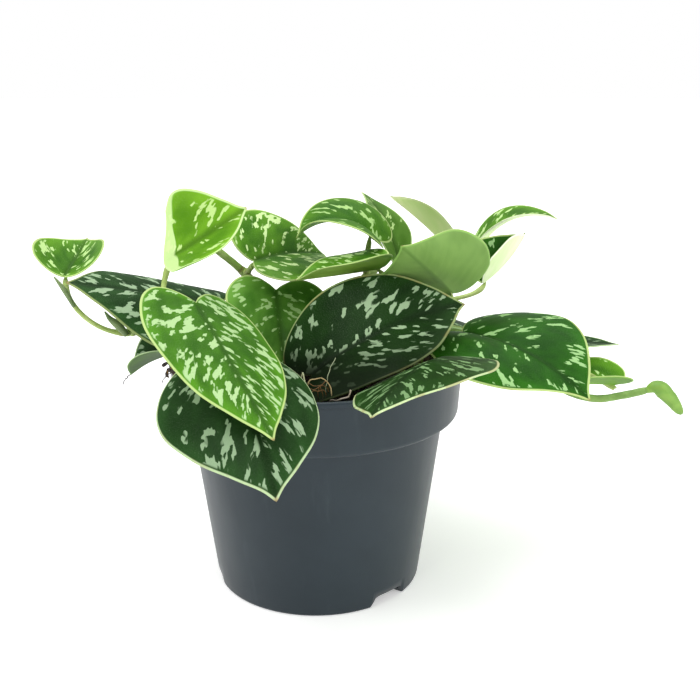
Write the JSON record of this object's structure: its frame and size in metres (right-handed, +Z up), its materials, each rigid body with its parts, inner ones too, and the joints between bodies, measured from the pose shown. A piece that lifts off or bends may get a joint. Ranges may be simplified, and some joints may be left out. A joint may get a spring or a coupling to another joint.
{
  "type": "satin pothos in a nursery pot",
  "caption": "Bushy satin pothos with heart-shaped silver-blotched leaves on short trailing vines, growing in a tapered plastic nursery pot filled with soil.",
  "frame": {"origin": "centre of the pot's round foot, on the plane it stands on", "axes": "+Z up along the pot's axis; +X to the side where the longest vine trails; -Y is the front, where two large leaves hang over the rim"},
  "size_m": [0.2639, 0.2114, 0.1655],
  "materials": {
    "pot": "satin dark slate-grey injection moulded plastic",
    "soil": null,
    "vine": null,
    "leaf_dark": "satin dark green blade with silver-green blotches and a thin pale margin",
    "leaf_mid": "satin mid green blade with silver-green blotches and a thin pale margin",
    "leaf_young": "satin bright green young blade with silver-green blotches and a pale margin",
    "leaf_pale": "matt pale green underside of a blade",
    "sheath": "thin, half dry leaf sheath"
  },
  "bodies": {
    "root": {"pot": "pot", "soil": "soil", "stem_left": "vine", "stem_front_left": "vine", "stem_centre_left": "vine", "stem_centre": "vine", "stem_right_back": "vine", "stem_front_right": "vine", "stem_right": "vine", "stem_back": "vine", "leaf_front_bright": "leaf_young", "leaf_front_low": "leaf_dark", "leaf_top_left": "leaf_young", "leaf_centre_dark": "leaf_dark", "leaf_rim_front": "leaf_dark", "leaf_right_long": "leaf_mid", "leaf_big_under": "leaf_pale", "leaf_mid_heart": "leaf_mid", "leaf_top_mid": "leaf_young", "leaf_arch": "leaf_mid", "leaf_folded_mid": "leaf_young", "leaf_behind_arch": "leaf_mid", "leaf_far_left": "leaf_young", "leaf_left_dark": "leaf_dark", "leaf_low_left": "leaf_dark", "leaf_top_under": "leaf_pale", "leaf_right_arch": "leaf_mid", "leaf_right_fold": "leaf_pale", "leaf_right_tip": "leaf_dark", "leaf_right_small": "leaf_young", "leaf_back_left": "leaf_mid", "leaf_back_mid": "leaf_dark", "leaf_back_right": "leaf_mid", "bud_right": "leaf_young", "sheath_tip": "sheath", "sheath_node": "sheath"}
  },
  "joints": []
}
